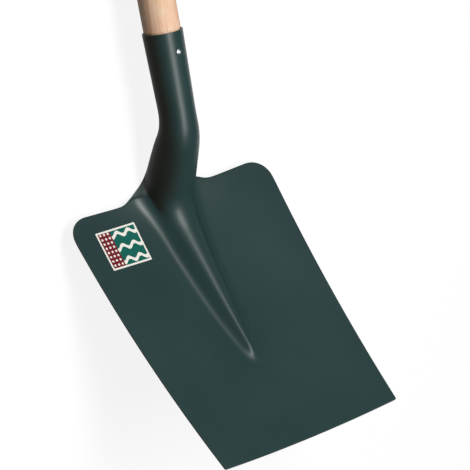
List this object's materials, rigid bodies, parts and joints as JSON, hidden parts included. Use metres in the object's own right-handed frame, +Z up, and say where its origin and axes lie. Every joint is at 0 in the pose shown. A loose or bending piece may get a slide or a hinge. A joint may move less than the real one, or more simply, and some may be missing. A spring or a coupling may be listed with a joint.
{
  "type": "square mouth shovel",
  "caption": "Square mouth shovel with a goose neck: dark green pressed steel head with a ridge and a rolled socket, straight pale wooden handle, one nail and a label.",
  "frame": {"origin": "bottom centre of the bounding box of the tool as it rests on a floor", "axes": "+Z up, +Y from the mouth of the blade towards the butt of the handle, +X to the right of someone who looks along +Y; the tool lies on its back, on the heel of the blade and the butt of the handle, with the mouth raised"},
  "size_m": [0.2682, 1.4452, 0.1969],
  "materials": {
    "green_painted_steel": "semi-gloss dark green paint",
    "pale_wood": "planed and sanded, left bare",
    "zinc_plated_steel": "bright zinc plate",
    "printed_label": "printed film with a slight sheen"
  },
  "bodies": {
    "root": {"blade_and_socket": "green_painted_steel", "wooden_handle": "pale_wood", "socket_nail": "zinc_plated_steel", "label": "printed_label"}
  },
  "joints": []
}
